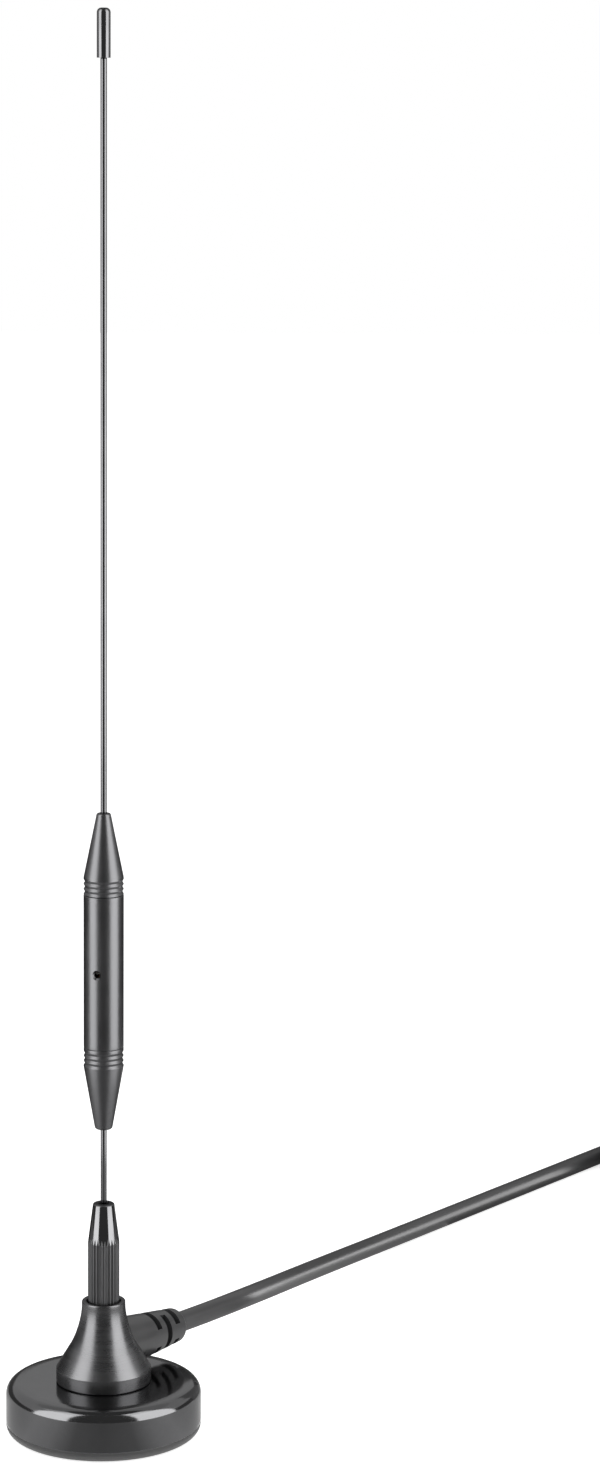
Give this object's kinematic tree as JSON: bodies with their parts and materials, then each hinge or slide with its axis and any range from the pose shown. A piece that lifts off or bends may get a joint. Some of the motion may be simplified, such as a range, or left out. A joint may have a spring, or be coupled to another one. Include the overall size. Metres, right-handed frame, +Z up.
{
  "type": "indoor TV antenna",
  "caption": "Indoor TV antenna: a thin whip with a cylindrical loading coil, screwed into a flared cone on a round magnetic base, with a coiled coaxial lead and plug.",
  "frame": {"origin": "centre of the base's underside, on the surface that the antenna stands on", "axes": "+Z up along the whip; the lead leaves the cone between +X and +Y, 50 degrees from +X"},
  "size_m": [0.2589, 0.2954, 0.3555],
  "materials": {
    "cup_black": "gloss",
    "ferrite": "matte",
    "pad_rubber": "satin",
    "cone_grey": "satin",
    "nylon": "satin",
    "brass": "satin",
    "plated_steel": "satin",
    "seal_rubber": "matte",
    "black_chrome": "polished",
    "whip_steel": "satin",
    "copper": "satin",
    "lead_pvc": "satin",
    "tie_plastic": "satin",
    "grip_plastic": "satin",
    "nickel": "polished"
  },
  "bodies": {
    "base": {"base_cup": "cup_black", "ring_magnet": "ferrite", "base_pad": "pad_rubber", "mount_cone": "cone_grey", "insulator_bush": "nylon", "socket_bolt": "brass", "solder_tag": "plated_steel", "lower_bush": "nylon", "clamp_washer": "plated_steel", "clamp_nut": "plated_steel", "strain_relief": "lead_pvc", "braid_ring": "plated_steel", "lead_dielectric": "nylon", "lead_core": "copper", "lead_run": "lead_pvc", "lead_coil": "lead_pvc", "lead_tail": "lead_pvc", "lead_tie": "tie_plastic", "plug_grip": "grip_plastic", "plug_contact": "nickel", "plug_insulator": "nylon", "plug_pin": "nickel"},
    "washer": {"seal_washer": "seal_rubber"},
    "mast": {"ferrule": "black_chrome", "lower_whip": "whip_steel", "coil_bottom_cone": "black_chrome", "coil_sleeve": "black_chrome", "coil_former": "nylon", "coil_winding": "copper", "coil_top_cone": "black_chrome", "upper_whip": "whip_steel", "tip_cap": "black_chrome"}
  },
  "joints": [
    {"name": "mast_lift", "type": "slide", "parent": "base", "child": "washer", "axis": [0, 0, 1], "range_m": [0, 0.0048]},
    {"name": "mast_turn", "type": "hinge", "parent": "washer", "child": "mast", "pos_m": [0, 0, 0.03], "axis": [0, 0, 1], "range_deg": [0, 2160]}
  ],
  "couplings": [
    {"joint": "mast_turn", "follows": "mast_lift", "rad_per_m": 7854}
  ]
}
